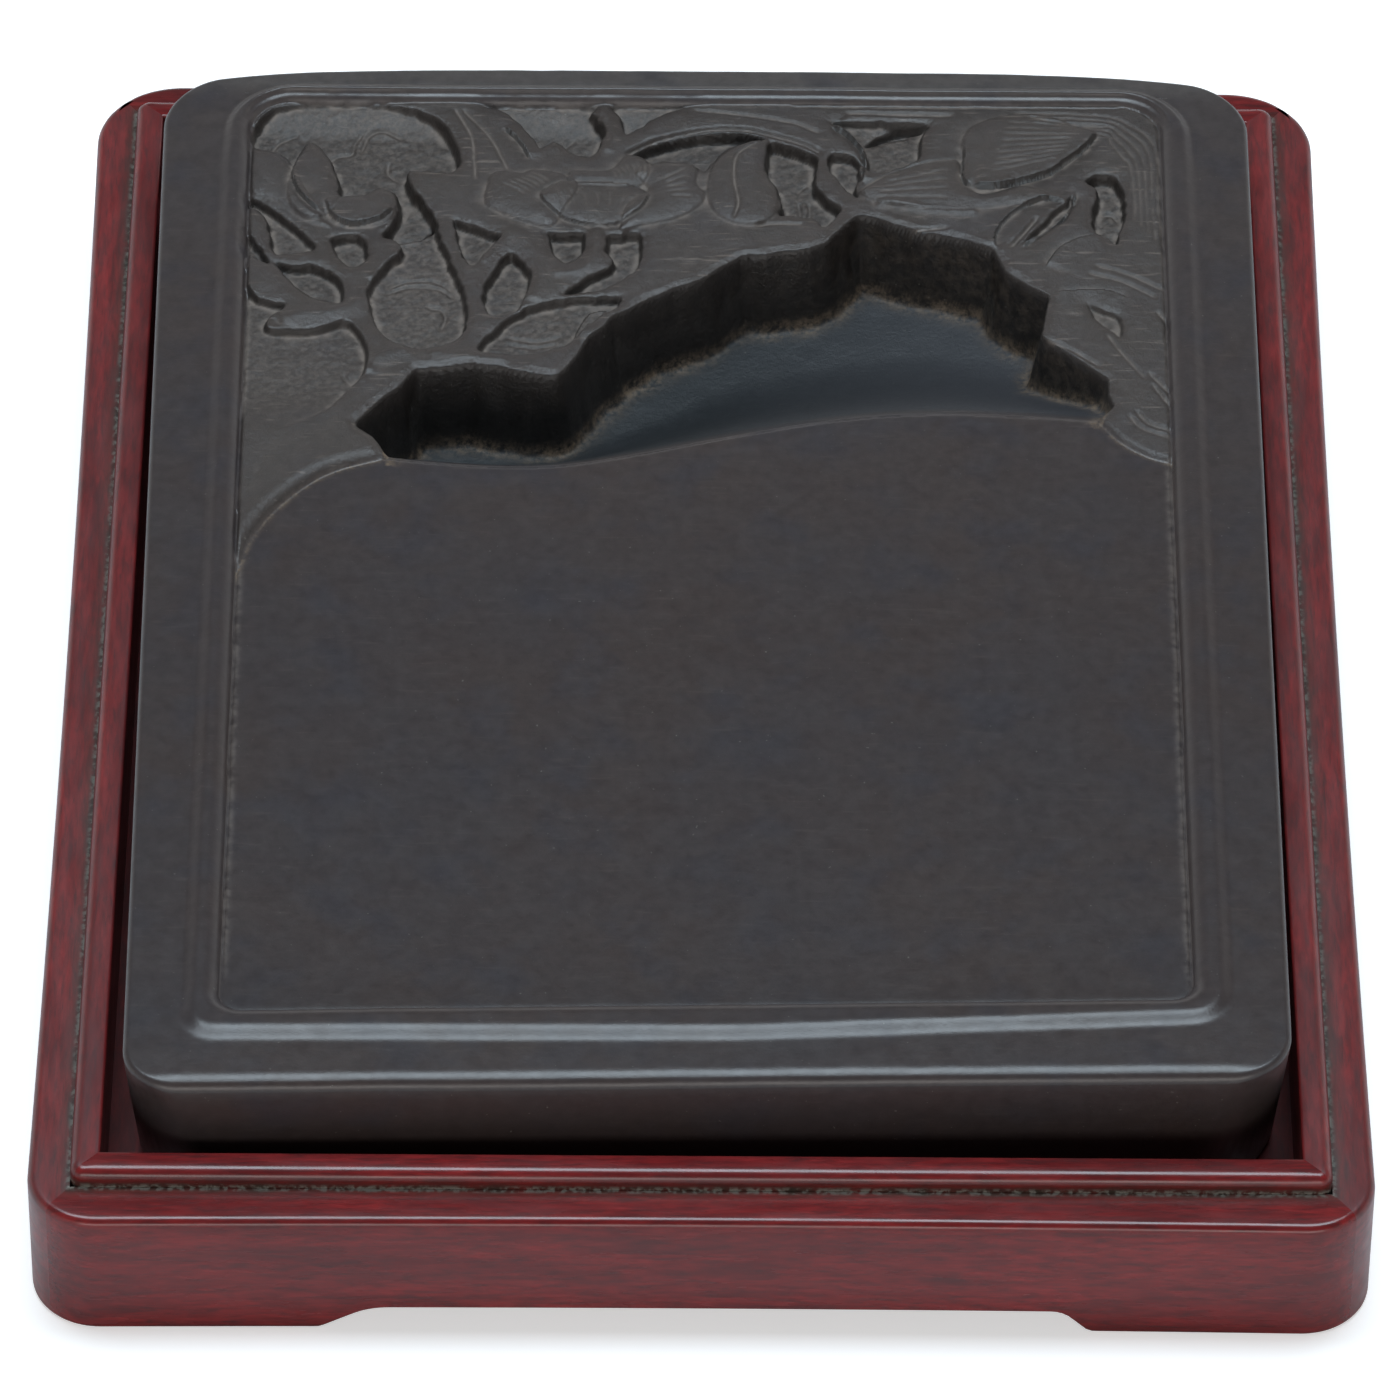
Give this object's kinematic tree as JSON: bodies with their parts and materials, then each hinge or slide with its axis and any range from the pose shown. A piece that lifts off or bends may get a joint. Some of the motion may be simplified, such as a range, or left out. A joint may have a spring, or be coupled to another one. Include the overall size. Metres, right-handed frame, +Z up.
{
  "type": "inkstone in tray",
  "caption": "Rectangular carved stone slab for grinding ink, with a sunk ink pool and floral relief, lying in a low footed rosewood tray with a raised lip.",
  "frame": {"origin": "centre of the tray's outline, on the surface it rests on", "axes": "+Z up; +Y from the user's side to the carved far end with the pool; +X to the user's right"},
  "size_m": [0.1762, 0.2296, 0.034],
  "materials": {
    "inkstone_slate": "smooth carved slate, satin",
    "rosewood": "polished lacquered red-brown rosewood",
    "rosewood_board": "planed rosewood, lightly oiled",
    "rosewood_slip": "planed rosewood, glued"
  },
  "bodies": {
    "tray": {"front_rail": "rosewood", "back_rail": "rosewood", "left_rail": "rosewood", "right_rail": "rosewood", "front_lip": "rosewood", "back_lip": "rosewood", "left_lip": "rosewood", "right_lip": "rosewood", "bottom_board": "rosewood_board", "front_left_spline": "rosewood_slip", "front_right_spline": "rosewood_slip", "back_left_spline": "rosewood_slip", "back_right_spline": "rosewood_slip"},
    "stone": {"inkstone": "inkstone_slate"}
  },
  "joints": [
    {"name": "inkstone_lift", "type": "slide", "parent": "tray", "child": "stone", "axis": [0, 0, 1], "range_m": [0, 0.04]}
  ]
}
